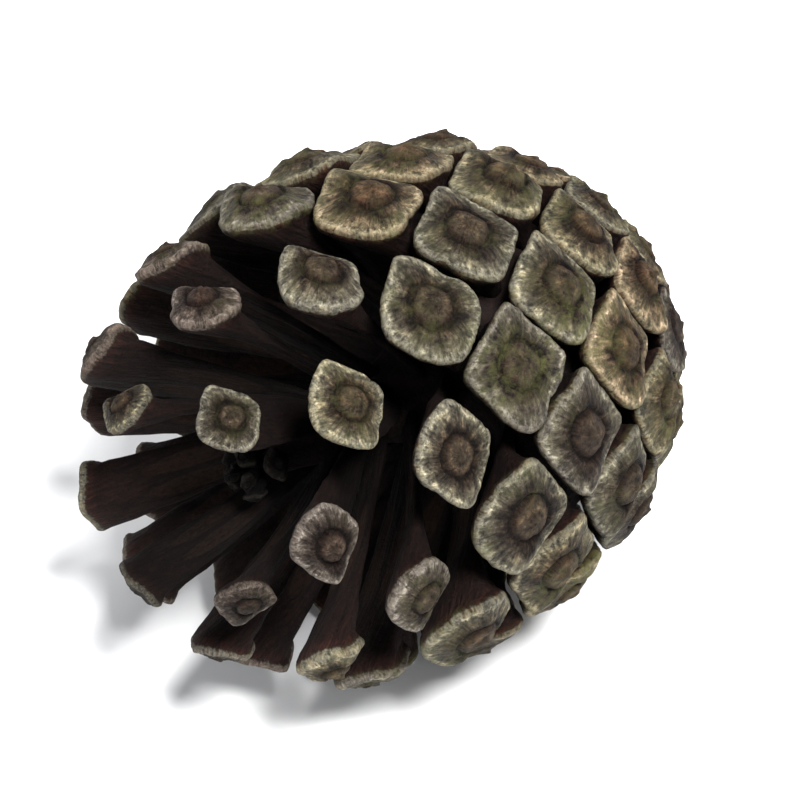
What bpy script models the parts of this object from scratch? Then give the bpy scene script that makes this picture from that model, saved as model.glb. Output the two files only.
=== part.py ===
"""A half-open Scots pine cone, fallen from the tree and lying on its side.

The cone grew as one piece, so it is one object: a woody spine with the broken stub of its stalk,
and scales that sit on it in the golden-angle spiral, root to tip. The lower scales never opened and
their thick ends, the scale faces, tile the base like shingles. The upper ones have swung outwards
and stand apart like fingers. Run it with blender --background --python part.py.
"""

import math

import bmesh
import bpy
import numpy as np
from mathutils import Matrix, Vector

MM = 0.001

# The cone is made with its spine on +Z, the stalk at z = 0 and the tip at the top, and then laid down.
CONE_LENGTH = 46.5 * MM
WIDEST_RADIUS = 18.0 * MM
WIDEST_HEIGHT = 25.0 * MM
BASE_START = 0.22
TIP_TAPER = 0.95
TIP_END = 1.25
PROFILE_STEPS = 400
SHARING_ROUNDS = 20

SCALE_COUNT = 93
GOLDEN_TURN = math.pi * (3.0 - math.sqrt(5.0))
FACE_SLANT = math.radians(50.0)
LEAST_LEAN = math.radians(6.0)

# Each curve is read at a scale's place in the spiral, 0 at the stalk and 1 at the tip.
CELL_WEIGHT = (
    (0.0, 0.32), (0.15, 0.48), (0.32, 0.76), (0.5, 0.97), (0.7, 1.0), (0.82, 1.35), (0.93, 1.4), (1.0, 1.1),
)
OPENING_DEG = ((0.0, 0.0), (0.71, 0.0), (0.81, 19.0), (0.91, 31.0), (1.0, 30.0))
SCALE_SIZE = (
    (0.0, 0.42), (0.1, 0.62), (0.25, 0.85), (0.42, 1.0), (0.6, 1.0), (0.8, 0.95), (0.93, 0.82), (1.0, 0.6),
)
FULL_OPENING_DEG = 20.0

FACE_HALF_WIDTH = 3.9 * MM
FACE_HALF_HEIGHT = 3.4 * MM
FACE_SQUARENESS = 1.4
FACE_CLOSED_GROWTH = 1.3
FACE_OPEN_GROWTH = 1.02
CELL_GAP = 0.2 * MM
LEAST_HALF_CELL = 0.3 * MM
CELL_ROUNDING = 11.0
NEIGHBOUR_REACH = 15.0 * MM

RING_POINTS = 8
EDGE_DEPTH = 1.0 * MM
EDGE_TAPER = 0.9
KEEL_RISE = 0.45 * MM
KEEL_SHARPNESS = 4
UMBO_SHARE = 0.4
UMBO_RISE = 1.08 * MM
PRICKLE_RISE = 1.6 * MM
PRICKLE_DROOP = 0.35 * MM

NECK_BACK = 3.1 * MM
NECK_WIDTH_SHARE = 0.78
NECK_HALF_THICKNESS = 0.95 * MM
NECK_INSET = 1.0 * MM
BLADE_HALF_WIDTH = 2.5 * MM
BLADE_HALF_THICKNESS = 0.75 * MM
ROOT_HALF_WIDTH = 1.6 * MM
ROOT_HALF_THICKNESS = 0.9 * MM
BLADE_BEND_PLACE = 0.5
BLADE_CORNER = 0.7
LONGEST_BLADE = 16.0 * MM
SHORTEST_BLADE = 4.5 * MM
ROOT_SINK = 1.2 * MM

SPINE_RADIUS_BASE = 3.4 * MM
SPINE_RADIUS_TIP = 1.3 * MM
SPINE_TOP = 35.5 * MM
SPINE_TIP_HEIGHT = 1.5 * MM
HEART_DEPTH = 2.6 * MM
HEART_RIM_PLACE = 0.7
HEART_FUNNEL_BOTTOM = 15.0 * MM
HEART_SIDES = 16
HEART_STATIONS = 6
MERGE_DISTANCE = 0.01 * MM

STUB_RADIUS = 2.2 * MM
STUB_TAPER = 0.8
STUB_LENGTH = 3.2 * MM
STUB_SIDES = 12

WOBBLE_SEED = 7
LEAN_WOBBLE_DEG = 2.5
TURN_WOBBLE_DEG = 2.0
TWIST_WOBBLE_DEG = 5.0
SIZE_WOBBLE = 0.05
CLOSED_WOBBLE_SHARE = 0.3

REST_FLAT = 0.25 * MM
LARGEST_LIFT = math.radians(25.0)
SHARP_ANGLE = math.radians(38.0)

BARK_BROWN = (0.115, 0.070, 0.040, 1.0)
BARK_ROUGHNESS = 0.8


def curve_at(stations, place):
    """The value of a driving curve at a place, or at an array of places, in the spiral."""
    places, values = zip(*stations)
    return np.interp(place, places, values)


def cone_profile():
    """Radius, height and outward normal's lean from the spine, sampled from stalk to tip."""
    lower = np.linspace(BASE_START, 0.5 * math.pi, PROFILE_STEPS)
    upper = np.linspace(0.0, TIP_END, PROFILE_STEPS)[1:]
    radius = np.concatenate([np.sin(lower), np.cos(upper) ** TIP_TAPER]) * WIDEST_RADIUS
    height = np.concatenate([
        WIDEST_HEIGHT * (1.0 - np.cos(lower)),
        WIDEST_HEIGHT + (CONE_LENGTH - WIDEST_HEIGHT) * np.sin(upper),
    ])
    lean = np.arctan2(np.gradient(height), -np.gradient(radius))
    return radius, height, lean


def spiral_places():
    """Radius, height and normal's lean at each scale's face, so that each has its share of area."""
    radius, height, lean = cone_profile()
    steps = np.hypot(np.diff(radius), np.diff(height))
    area = 2.0 * math.pi * 0.5 * (radius[1:] + radius[:-1]) * steps
    place = np.linspace(0.0, 1.0, len(area))
    for _ in range(SHARING_ROUNDS):
        share = np.cumsum(area / curve_at(CELL_WEIGHT, place))
        place = share / share[-1]
    wanted = (np.arange(SCALE_COUNT) + 0.5) / SCALE_COUNT
    return [np.interp(wanted, place, values[1:]) for values in (radius, height, lean)]


def unit(angle, turn):
    """The direction at an angle from the spine, in the half plane at that turn round it."""
    out = math.sin(angle)
    return Vector((out * math.cos(turn), out * math.sin(turn), math.cos(angle)))


def scale_sites():
    """One dictionary for each scale: where its face sits, how it leans and how big it grew."""
    radii, heights, leans = spiral_places()
    wobble = np.random.default_rng(WOBBLE_SEED).uniform(-1.0, 1.0, (SCALE_COUNT, 4))
    sites = []
    for k in range(SCALE_COUNT):
        place = (k + 0.5) / SCALE_COUNT
        opening = curve_at(OPENING_DEG, place)
        open_share = min(1.0, opening / FULL_OPENING_DEG)
        loose = CLOSED_WOBBLE_SHARE + (1.0 - CLOSED_WOBBLE_SHARE) * open_share
        turn = k * GOLDEN_TURN + math.radians(TURN_WOBBLE_DEG) * wobble[k, 0] * loose
        lean = leans[k] - FACE_SLANT + math.radians(opening + LEAN_WOBBLE_DEG * wobble[k, 1] * loose)
        sites.append({
            "turn": turn,
            "lean": max(lean, LEAST_LEAN),
            "twist": math.radians(TWIST_WOBBLE_DEG) * wobble[k, 2] * loose,
            "size": curve_at(SCALE_SIZE, place) * (1.0 + SIZE_WOBBLE * wobble[k, 3]),
            "growth": FACE_CLOSED_GROWTH + (FACE_OPEN_GROWTH - FACE_CLOSED_GROWTH) * open_share,
            "centre": Vector((radii[k] * math.cos(turn), radii[k] * math.sin(turn), heights[k])),
            "radius": radii[k],
        })
    return sites


def face_outline(site, sites, across, along):
    """The scale face's reach in each ring direction: its share of the surface, cut to its own size."""
    angles = np.arange(RING_POINTS) * 2.0 * math.pi / RING_POINTS
    pressure = np.zeros(RING_POINTS)
    for other in sites:
        gap = other["centre"] - site["centre"]
        if other is site or gap.length > NEIGHBOUR_REACH:
            continue
        bearing = math.atan2(gap.dot(along), gap.dot(across))
        half = max(0.5 * (gap.length - CELL_GAP), LEAST_HALF_CELL)
        pressure += np.maximum(0.0, np.cos(angles - bearing) / half) ** CELL_ROUNDING
    wide = FACE_HALF_WIDTH * site["size"] * site["growth"]
    high = FACE_HALF_HEIGHT * site["size"] * site["growth"]
    own = (
        np.abs(np.cos(angles) / wide) ** FACE_SQUARENESS
        + np.abs(np.sin(angles) / high) ** FACE_SQUARENESS
    ) ** (-1.0 / FACE_SQUARENESS)
    return (pressure + own ** -CELL_ROUNDING) ** (-1.0 / CELL_ROUNDING)


def blade_section(centre, across, upward, half_width, half_thickness):
    """A flat, soft-cornered section of the scale's blade."""
    points = []
    for j in range(RING_POINTS):
        angle = 2.0 * math.pi * j / RING_POINTS
        side, lift = math.cos(angle), math.sin(angle)
        points.append(
            centre
            + across * (half_width * math.copysign(abs(side) ** BLADE_CORNER, side))
            + upward * (half_thickness * math.copysign(abs(lift) ** BLADE_CORNER, lift))
        )
    return points


def spine_radius(height):
    """The spine's radius at a height above the stalk."""
    return float(np.interp(height, (HEART_FUNNEL_BOTTOM, SPINE_TOP), (SPINE_RADIUS_BASE, SPINE_RADIUS_TIP)))


def root_point(site, outward):
    """Where the scale's blade ends, inside the spine."""
    centre = site["centre"]
    to_spine = (site["radius"] - spine_radius(centre.z) + ROOT_SINK) / math.sin(site["lean"])
    to_spine_top = centre.z - SPINE_TOP + 2.0 * ROOT_SINK
    reach = max(min(to_spine, LONGEST_BLADE), to_spine_top, SHORTEST_BLADE)
    height = centre.z - reach * outward.z
    depth = min(site["radius"], spine_radius(height) - ROOT_SINK)
    return unit(0.5 * math.pi, site["turn"]) * depth + Vector((0.0, 0.0, height)), reach


def scale_sections(site, sites):
    """The rings of one scale, from its root in the spine to the rim of the umbo, and its prickle."""
    turn, lean, size, centre = site["turn"], site["lean"], site["size"], site["centre"]
    outward = unit(lean, turn)
    inner = unit(lean - 0.5 * math.pi, turn)
    across = inner.cross(outward)
    twist = Matrix.Rotation(site["twist"], 3, outward)
    inner, across = twist @ inner, twist @ across
    normal = outward * math.cos(FACE_SLANT) - inner * math.sin(FACE_SLANT)
    along = outward * math.sin(FACE_SLANT) + inner * math.cos(FACE_SLANT)

    reaches = face_outline(site, sites, across, along)
    face = []
    for j, far in enumerate(reaches):
        angle = 2.0 * math.pi * j / RING_POINTS
        keel = KEEL_RISE * size * math.cos(angle) ** KEEL_SHARPNESS
        face.append((across * math.cos(angle) + along * math.sin(angle), float(far), keel))
    rim = [centre + way * far + normal * keel for way, far, keel in face]
    back = [centre + way * (EDGE_TAPER * far) - normal * (EDGE_DEPTH * size) for way, far, _ in face]
    umbo = [
        centre + way * (UMBO_SHARE * far) + normal * (UMBO_RISE * size + UMBO_SHARE * keel)
        for way, far, keel in face
    ]
    prickle = centre + normal * (PRICKLE_RISE * size) - along * (PRICKLE_DROOP * size)

    inset = float(reaches[RING_POINTS // 4]) * math.cos(FACE_SLANT) - NECK_INSET * size
    neck_centre = centre - outward * (NECK_BACK * size) + inner * inset
    neck = blade_section(
        neck_centre, across, inner, NECK_WIDTH_SHARE * float(reaches[0]), NECK_HALF_THICKNESS * size,
    )
    # The blade follows a curve with three control points: its foot, a bend point and its neck.
    foot, reach = root_point(site, outward)
    bend = centre - outward * (BLADE_BEND_PLACE * reach) + inner * inset
    middle = 0.25 * foot + 0.5 * bend + 0.25 * neck_centre
    lift = (neck_centre - foot).cross(across).normalized()
    blade = blade_section(middle, across, lift, BLADE_HALF_WIDTH * size, BLADE_HALF_THICKNESS * size)
    lift = (bend - foot).cross(across).normalized()
    root = blade_section(foot, across, lift, ROOT_HALF_WIDTH * size, ROOT_HALF_THICKNESS * size)
    return [root, blade, neck, back, rim, umbo], prickle


def loft(name, sections, peak):
    """A closed solid, made by extruding a disc's face from section to section up to a peak."""
    shape = bmesh.new()
    bmesh.ops.create_circle(shape, cap_ends=True, segments=RING_POINTS, radius=1.0)
    shape.faces.ensure_lookup_table()
    end = shape.faces[0]
    for corner, point in zip(end.verts, sections[0]):
        corner.co = point
    for number, section in enumerate(sections[1:]):
        made = bmesh.ops.extrude_face_region(shape, geom=[end])
        if number > 0:
            bmesh.ops.delete(shape, geom=[end], context="FACES_ONLY")
        end = next(item for item in made["geom"] if isinstance(item, bmesh.types.BMFace))
        for corner, point in zip(end.verts, section):
            corner.co = point
    made = bmesh.ops.poke(shape, faces=[end])
    made["verts"][0].co = peak
    bmesh.ops.recalc_face_normals(shape, faces=shape.faces[:])
    bmesh.ops.triangulate(shape, faces=shape.faces[:])
    mesh = bpy.data.meshes.new(name)
    shape.to_mesh(mesh)
    shape.free()
    return bpy.data.objects.new(name, mesh)


def heart():
    """The spine, with the solid heart that the closed lower scales grow from, as a turned shape."""
    radius, height, lean = cone_profile()
    heights = spiral_places()[1]
    rim_height = float(np.interp(HEART_RIM_PLACE * SCALE_COUNT, np.arange(SCALE_COUNT) + 0.5, heights))
    profile = [
        (0.0, SPINE_TOP),
        (SPINE_RADIUS_TIP, SPINE_TOP - SPINE_TIP_HEIGHT),
        (SPINE_RADIUS_BASE, HEART_FUNNEL_BOTTOM),
    ]
    for station in np.linspace(rim_height, height[0], HEART_STATIONS):
        surface = float(np.interp(station, height, radius))
        tilt = float(np.interp(station, height, lean))
        profile.append((
            surface - HEART_DEPTH * math.sin(tilt),
            station - HEART_DEPTH * math.cos(tilt),
        ))
    profile.append((0.0, profile[-1][1]))

    shape = bmesh.new()
    corners = [shape.verts.new((out, 0.0, up)) for out, up in profile]
    for upper, lower in zip(corners, corners[1:]):
        shape.edges.new((upper, lower))
    mesh = bpy.data.meshes.new("heart")
    shape.to_mesh(mesh)
    shape.free()
    turned = bpy.data.objects.new("pine_cone", mesh)
    turning = turned.modifiers.new("turning", "SCREW")
    turning.steps = HEART_SIDES
    turning.render_steps = HEART_SIDES
    turning.use_merge_vertices = True
    turning.merge_threshold = MERGE_DISTANCE
    return turned


def stub():
    """The broken end of the stalk, standing out of the closed base."""
    depth = STUB_LENGTH + 2.0 * HEART_DEPTH
    shape = bmesh.new()
    bmesh.ops.create_cone(
        shape, cap_ends=True, segments=STUB_SIDES, radius1=STUB_TAPER * STUB_RADIUS,
        radius2=STUB_RADIUS, depth=depth, matrix=Matrix.Translation((0.0, 0.0, 0.5 * depth - STUB_LENGTH)),
    )
    mesh = bpy.data.meshes.new("stub")
    shape.to_mesh(mesh)
    shape.free()
    return bpy.data.objects.new("stub", mesh)


def apply_modifiers(thing):
    """Replaces the object's mesh with what its modifiers make of it."""
    graph = bpy.context.evaluated_depsgraph_get()
    made = bpy.data.meshes.new_from_object(thing.evaluated_get(graph))
    thing.modifiers.clear()
    thing.data = made


def join_as_one(body, growths):
    """One Boolean union of the body with everything that grows from it."""
    joining = body.modifiers.new("joining", "BOOLEAN")
    joining.operation = "UNION"
    joining.operand_type = "COLLECTION"
    joining.collection = growths
    joining.solver = "MANIFOLD"
    apply_modifiers(body)
    for piece in list(growths.objects):
        bpy.data.objects.remove(piece)
    bpy.data.collections.remove(growths)


def points_and_triangles(mesh):
    """The mesh's points, and its triangles' corner numbers."""
    mesh.calc_loop_triangles()
    points = np.empty((len(mesh.vertices), 3))
    mesh.vertices.foreach_get("co", points.ravel())
    triangles = np.empty((len(mesh.loop_triangles), 3), dtype=int)
    mesh.loop_triangles.foreach_get("vertices", triangles.ravel())
    return points, triangles


def balance_point(mesh):
    """The centre of the solid's volume."""
    points, triangles = points_and_triangles(mesh)
    a, b, c = (points[triangles[:, corner]] for corner in range(3))
    volumes = np.einsum("ij,ij->i", a, np.cross(b, c)) / 6.0
    return Vector((volumes[:, None] * (a + b + c) / 4.0).sum(axis=0) / volumes.sum())


def hold_on(side, balance):
    """How far inside the three corners of a side the weight falls, when the cone lies on it."""
    corners = [corner.co for corner in side.verts]
    foot = balance + side.normal * side.normal.dot(corners[0] - balance)
    return min(
        (end - start).normalized().cross(foot - start).dot(side.normal)
        for start, end in zip(corners, corners[1:] + corners[:1])
    )


def resting_side(mesh, balance):
    """The way down when the cone lies on its side, on the three low points that hold it best."""
    shape = bmesh.new()
    shape.from_mesh(mesh)
    made = bmesh.ops.convex_hull(shape, input=shape.verts[:])
    sides = [item for item in made["geom"] if isinstance(item, bmesh.types.BMFace)]
    bmesh.ops.triangulate(shape, faces=[side for side in sides if len(side.verts) > 3])
    level_sides = [
        side for side in sides
        if side.is_valid and 0.0 < -side.normal.z < math.sin(LARGEST_LIFT)
    ]
    best = max(level_sides, key=lambda side: hold_on(side, balance))
    down = best.normal.copy()
    shape.free()
    return down


def lay_down(body):
    """Turns the cone onto its resting side, tip towards -X, and trims its three low points flat."""
    balance = balance_point(body.data)
    down = resting_side(body.data, balance)
    turn = down.rotation_difference(Vector((0.0, 0.0, -1.0))).to_matrix()
    tip = turn @ Vector((0.0, 0.0, 1.0))
    turn = Matrix.Rotation(math.pi - math.atan2(tip.y, tip.x), 3, "Z") @ turn
    body.data.transform(turn.to_4x4())

    points = points_and_triangles(body.data)[0]
    shape = bmesh.new()
    shape.from_mesh(body.data)
    floor = Vector((0.0, 0.0, points[:, 2].min() + REST_FLAT))
    bmesh.ops.bisect_plane(
        shape, geom=shape.verts[:] + shape.edges[:] + shape.faces[:], dist=0.0,
        plane_co=floor, plane_no=(0.0, 0.0, -1.0), clear_outer=True,
    )
    open_edges = [edge for edge in shape.edges if edge.is_boundary]
    bmesh.ops.holes_fill(shape, edges=open_edges, sides=0)
    bmesh.ops.triangulate(shape, faces=[face for face in shape.faces if len(face.verts) > 3])
    shape.to_mesh(body.data)
    shape.free()

    points = points_and_triangles(body.data)[0]
    low, high = points.min(axis=0), points.max(axis=0)
    middle = 0.5 * (low + high)
    body.data.transform(Matrix.Translation((-middle[0], -middle[1], -low[2])))


def dress(body):
    """Gives the cone its bark brown, and smooth shading between its sharper ridges."""
    bark = bpy.data.materials.new("bark_brown")
    bark.use_nodes = True
    shader = bark.node_tree.nodes["Principled BSDF"]
    shader.inputs["Base Color"].default_value = BARK_BROWN
    shader.inputs["Roughness"].default_value = BARK_ROUGHNESS
    shader.inputs["Metallic"].default_value = 0.0
    body.data.materials.clear()
    body.data.materials.append(bark)
    body.data.shade_smooth()
    body.data.set_sharp_from_angle(angle=SHARP_ANGLE)


def main():
    for old in list(bpy.data.objects):
        bpy.data.objects.remove(old)
    cone_parts = bpy.data.collections.new("pine cone")
    growths = bpy.data.collections.new("growths")
    bpy.context.scene.collection.children.link(cone_parts)
    bpy.context.scene.collection.children.link(growths)

    body = heart()
    cone_parts.objects.link(body)
    bpy.context.view_layer.update()
    apply_modifiers(body)
    growths.objects.link(stub())
    sites = scale_sites()
    for k, site in enumerate(sites):
        sections, prickle = scale_sections(site, sites)
        growths.objects.link(loft(f"scale_{k:02d}", sections, prickle))
    bpy.context.view_layer.update()
    join_as_one(body, growths)
    lay_down(body)
    dress(body)


main()
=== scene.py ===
import math

import bpy
import numpy as np
from mathutils import Matrix, Vector


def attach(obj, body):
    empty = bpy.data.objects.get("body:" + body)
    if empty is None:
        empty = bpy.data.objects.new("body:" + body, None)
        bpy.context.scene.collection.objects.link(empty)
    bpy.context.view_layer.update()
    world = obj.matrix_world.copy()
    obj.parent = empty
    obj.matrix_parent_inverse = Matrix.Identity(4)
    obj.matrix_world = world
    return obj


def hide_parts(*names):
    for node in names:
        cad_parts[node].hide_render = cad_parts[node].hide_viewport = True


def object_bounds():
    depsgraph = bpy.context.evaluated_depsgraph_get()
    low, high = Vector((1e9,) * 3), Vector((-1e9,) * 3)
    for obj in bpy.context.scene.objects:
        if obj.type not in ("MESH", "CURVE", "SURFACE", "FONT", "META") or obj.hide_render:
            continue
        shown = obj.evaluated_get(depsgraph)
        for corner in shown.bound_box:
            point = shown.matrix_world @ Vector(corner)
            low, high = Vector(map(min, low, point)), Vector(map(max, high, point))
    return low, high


# A half-open Scots pine cone lying on its side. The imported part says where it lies. Each scale is a
# copy of one modelled scale, fitted to its place in the part's own spiral.

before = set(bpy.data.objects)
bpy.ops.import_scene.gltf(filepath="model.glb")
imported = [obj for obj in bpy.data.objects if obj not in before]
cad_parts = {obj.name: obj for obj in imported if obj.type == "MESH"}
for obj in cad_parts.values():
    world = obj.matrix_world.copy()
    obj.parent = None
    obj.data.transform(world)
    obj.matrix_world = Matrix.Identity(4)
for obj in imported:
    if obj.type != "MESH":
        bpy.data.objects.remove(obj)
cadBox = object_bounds()
mm = 0.001
axisZ = Vector((0.0, 0.0, 1.0))
goldenTurn = math.pi * (3.0 - math.sqrt(5.0))


# The spiral that the scales grow in, as in the part. Curves run from the stalk (0) to the tip (1).

spiral = {
    "scales": 93,
    "length": 46.5 * mm,
    "widestRadius": 18.0 * mm,
    "widestHeight": 25.0 * mm,
    "baseStart": 0.22,
    "tipTaper": 0.95,
    "tipEnd": 1.25,
    "profileSteps": 400,
    "sharingRounds": 20,
    "faceSlant": math.radians(50.0),
    "leastLean": math.radians(6.0),
    "cellWeight": (
        (0.0, 0.32), (0.15, 0.48), (0.32, 0.76), (0.5, 0.97), (0.7, 1.0), (0.82, 1.35), (0.93, 1.4),
        (1.0, 1.1),
    ),
    "openingDeg": ((0.0, 0.0), (0.71, 0.0), (0.81, 19.0), (0.91, 31.0), (1.0, 30.0)),
    "fullOpeningDeg": 20.0,
    "scaleSize": (
        (0.0, 0.42), (0.1, 0.62), (0.25, 0.85), (0.42, 1.0), (0.6, 1.0), (0.8, 0.95), (0.93, 0.82),
        (1.0, 0.6),
    ),
    "wobbleSeed": 7,
    "turnWobbleDeg": 2.0,
    "leanWobbleDeg": 2.5,
    "twistWobbleDeg": 5.0,
    "sizeWobble": 0.05,
    "closedWobbleShare": 0.3,
}

slant = spiral["faceSlant"]

# The small sterile scales that close the end of the spine, deep between the open ones, and those
# that close the base round the stalk. Each pair is a value at the first one and at the last one.
bud = {
    "scales": 9,
    "radius": (2.3 * mm, 0.2 * mm),
    "height": (35.5 * mm, 38.1 * mm),
    "leanDeg": (44.0, 4.0),
    "size": (0.34, 0.2),
    "place": 1.0,
    "open": 1.0,
}
collar = {
    "scales": 8,
    "radius": (3.3 * mm, 2.6 * mm),
    "height": (0.40 * mm, 0.15 * mm),
    "leanDeg": (117.0, 121.0),
    "size": (0.36, 0.30),
    "place": 0.0,
    "open": 0.0,
}


def curveAt(stations, place):
    places, values = zip(*stations)
    return np.interp(place, places, values)


def coneProfile():
    # radius, height and outward lean of the cone's outside, from the stalk to the tip
    lower = np.linspace(spiral["baseStart"], 0.5 * math.pi, spiral["profileSteps"])
    upper = np.linspace(0.0, spiral["tipEnd"], spiral["profileSteps"])[1:]
    radius = np.concatenate([np.sin(lower), np.cos(upper) ** spiral["tipTaper"]]) * spiral["widestRadius"]
    aboveWidest = (spiral["length"] - spiral["widestHeight"]) * np.sin(upper)
    height = np.concatenate([
        spiral["widestHeight"] * (1.0 - np.cos(lower)),
        spiral["widestHeight"] + aboveWidest,
    ])
    return radius, height, np.arctan2(np.gradient(height), -np.gradient(radius))


def spiralPlaces():
    # each scale gets its share of the outside
    radius, height, lean = coneProfile()
    area = (radius[1:] + radius[:-1]) * np.hypot(np.diff(radius), np.diff(height))
    place = np.linspace(0.0, 1.0, len(area))
    for _ in range(spiral["sharingRounds"]):
        share = np.cumsum(area / curveAt(spiral["cellWeight"], place))
        place = share / share[-1]
    wanted = (np.arange(spiral["scales"]) + 0.5) / spiral["scales"]
    return [np.interp(wanted, place, values[1:]) for values in (radius, height, lean)]


def unit(angle, turn):
    # the direction at an angle from the spine, at a turn round it
    return np.array((math.sin(angle) * math.cos(turn), math.sin(angle) * math.sin(turn), math.cos(angle)))


def turnedRound(vector, axis, angle):
    return np.array(Matrix.Rotation(angle, 3, Vector(axis)) @ Vector(vector))


def makeSite(number, place, openShare, turn, lean, size, radius, height, twist=0.0):
    # where a scale's face sits, how far it opened, how it leans and how big it grew
    outward, inner = unit(lean, turn), unit(lean - 0.5 * math.pi, turn)
    across = np.cross(inner, outward)
    inner, across = turnedRound(inner, outward, twist), turnedRound(across, outward, twist)
    return {
        "number": number,
        "place": place,
        "open": openShare,
        "turn": turn,
        "lean": lean,
        "size": size,
        "radius": radius,
        "centre": np.array((radius * math.cos(turn), radius * math.sin(turn), height)),
        "outward": outward,
        "inner": inner,
        "across": across,
        "normal": outward * math.cos(slant) - inner * math.sin(slant),
        "along": outward * math.sin(slant) + inner * math.cos(slant),
    }


def scaleSites():
    radii, heights, leans = spiralPlaces()
    count = spiral["scales"]
    wobble = np.random.default_rng(spiral["wobbleSeed"]).uniform(-1.0, 1.0, (count, 4))
    made = []
    for k in range(count):
        place = (k + 0.5) / count
        opening = float(curveAt(spiral["openingDeg"], place))
        openShare = min(1.0, opening / spiral["fullOpeningDeg"])
        loose = spiral["closedWobbleShare"] + (1.0 - spiral["closedWobbleShare"]) * openShare
        turnWobble, leanWobble, twistWobble, sizeWobble = wobble[k]
        turn = k * goldenTurn + math.radians(spiral["turnWobbleDeg"]) * turnWobble * loose
        opened = math.radians(opening + spiral["leanWobbleDeg"] * leanWobble * loose)
        lean = max(leans[k] - slant + opened, spiral["leastLean"])
        twist = math.radians(spiral["twistWobbleDeg"]) * twistWobble * loose
        size = float(curveAt(spiral["scaleSize"], place)) * (1.0 + spiral["sizeWobble"] * sizeWobble)
        made.append(makeSite(k, place, openShare, turn, lean, size, radii[k], heights[k], twist))
    return made


def smallSites(group, first, firstTurn):
    made = []
    for j in range(group["scales"]):
        share = j / (group["scales"] - 1)
        ends = (group["radius"], group["leanDeg"], group["size"])
        radius, leanDeg, size = [start + (end - start) * share for start, end in ends]
        start, end = group["height"]
        height = start + (end - start) * math.sqrt(share)
        turn, lean = (firstTurn + j) * goldenTurn, math.radians(leanDeg)
        made.append(makeSite(first + j, group["place"], group["open"], turn, lean, size, radius, height))
    return made


sites = scaleSites()
sites += smallSites(bud, len(sites), len(sites))
sites += smallSites(collar, len(sites), -collar["scales"])


# How the cone lies: the lift of its tip, and the side of it that is down

lie = {
    "tipLiftDeg": 11.7706,
    "downTurnDeg": 53.2805,
    # the end of the stub is all that lies this near to the part's furthest point that way
    "stubEndDepth": 0.02 * mm,
    "pointDecimals": 7,
}


def layingMatrix():
    # from the upright cone to where the part lies, found by the end of its stub
    lift, turn = math.radians(lie["tipLiftDeg"]), math.radians(lie["downTurnDeg"])
    down = Vector(unit(0.5 * math.pi + lift, turn))
    laid = down.rotation_difference(-axisZ).to_matrix()
    tip = laid @ axisZ
    laid = Matrix.Rotation(math.pi - math.atan2(tip.y, tip.x), 3, "Z") @ laid
    points = np.array([v.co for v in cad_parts["pine_cone"].data.vertices])
    reach = points @ np.array(laid @ -axisZ)
    stubEnd = points[reach > reach.max() - lie["stubEndDepth"]]
    # the node's mesh is loose triangles, so each of its points counts once
    stubEnd = np.unique(np.round(stubEnd, lie["pointDecimals"]), axis=0)
    shift = Vector(stubEnd.mean(axis=0)) - laid @ Vector((0.0, 0.0, -stub["length"]))
    return Matrix.Translation(shift) @ laid.to_4x4()


# Small helpers for modelling

def onlySelect(*things):
    if bpy.context.object and bpy.context.object.mode != "OBJECT":
        bpy.ops.object.mode_set(mode="OBJECT")
    bpy.ops.object.select_all(action="DESELECT")
    for thing in things:
        thing.select_set(True)
    if things:
        bpy.context.view_layer.objects.active = things[0]


def startCircle(name, sides):
    onlySelect()
    bpy.ops.mesh.primitive_circle_add(vertices=sides, radius=1.0, fill_type="NGON")
    piece = bpy.context.object
    piece.name = name
    bpy.ops.object.mode_set(mode="EDIT")
    bpy.ops.mesh.select_all(action="SELECT")
    return piece


def stepOn(number, step):
    # the first ring is only moved to its place, and each later one is extruded from the last
    if number == 0:
        bpy.ops.transform.translate(value=step)
    else:
        bpy.ops.mesh.extrude_region_move(TRANSFORM_OT_translate={"value": step})


def extrudeRings(name, sides, rings):
    # a solid round the spine's line, extruded through rings that are each a radius and a height
    piece = startCircle(name, sides)
    radius, at = 1.0, Vector((0.0, 0.0, 0.0))
    for number, (nextRadius, height) in enumerate(rings):
        to = Vector((0.0, 0.0, height))
        stepOn(number, to - at)
        grow = nextRadius / radius
        bpy.ops.transform.resize(value=(grow, grow, 1.0), center_override=to)
        radius, at = nextRadius, to
    # one that is extruded downwards has its faces pointing inwards
    bpy.ops.mesh.select_all(action="SELECT")
    bpy.ops.mesh.normals_make_consistent(inside=False)
    bpy.ops.object.mode_set(mode="OBJECT")
    return piece


def pointsOf(mesh):
    points = np.empty((len(mesh.vertices), 3))
    mesh.vertices.foreach_get("co", points.ravel())
    return points


def setPoints(mesh, points):
    mesh.vertices.foreach_set("co", np.ascontiguousarray(points, dtype=np.float32).ravel())
    mesh.update()


def addValue(mesh, name, values):
    field = mesh.attributes.new(name, "FLOAT", "POINT")
    field.data.foreach_set("value", np.ascontiguousarray(values, dtype=np.float32))


def addVector(mesh, name, values):
    field = mesh.attributes.new(name, "FLOAT_VECTOR", "POINT")
    field.data.foreach_set("vector", np.ascontiguousarray(values, dtype=np.float32).ravel())


def finishSurface(piece, levels, clouds):
    # smoothed, and then weathered by cloud patterns that are each a size and a strength
    smooth = piece.modifiers.new("smooth", "SUBSURF")
    smooth.levels = smooth.render_levels = levels
    for size, strength in clouds:
        cloud = bpy.data.textures.new("weathering", "CLOUDS")
        cloud.noise_scale = size
        cloud.noise_depth = 2
        bump = piece.modifiers.new("weathering", "DISPLACE")
        bump.texture = cloud
        bump.texture_coords = "LOCAL"
        bump.strength = strength
        bump.mid_level = 0.5
    onlySelect(piece)
    for modifier in list(piece.modifiers):
        bpy.ops.object.modifier_apply(modifier=modifier.name)
    bpy.ops.object.shade_smooth()


# The scale: a woody blade with a thick end, whose face has a rim, a keel and a raised centre

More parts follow.
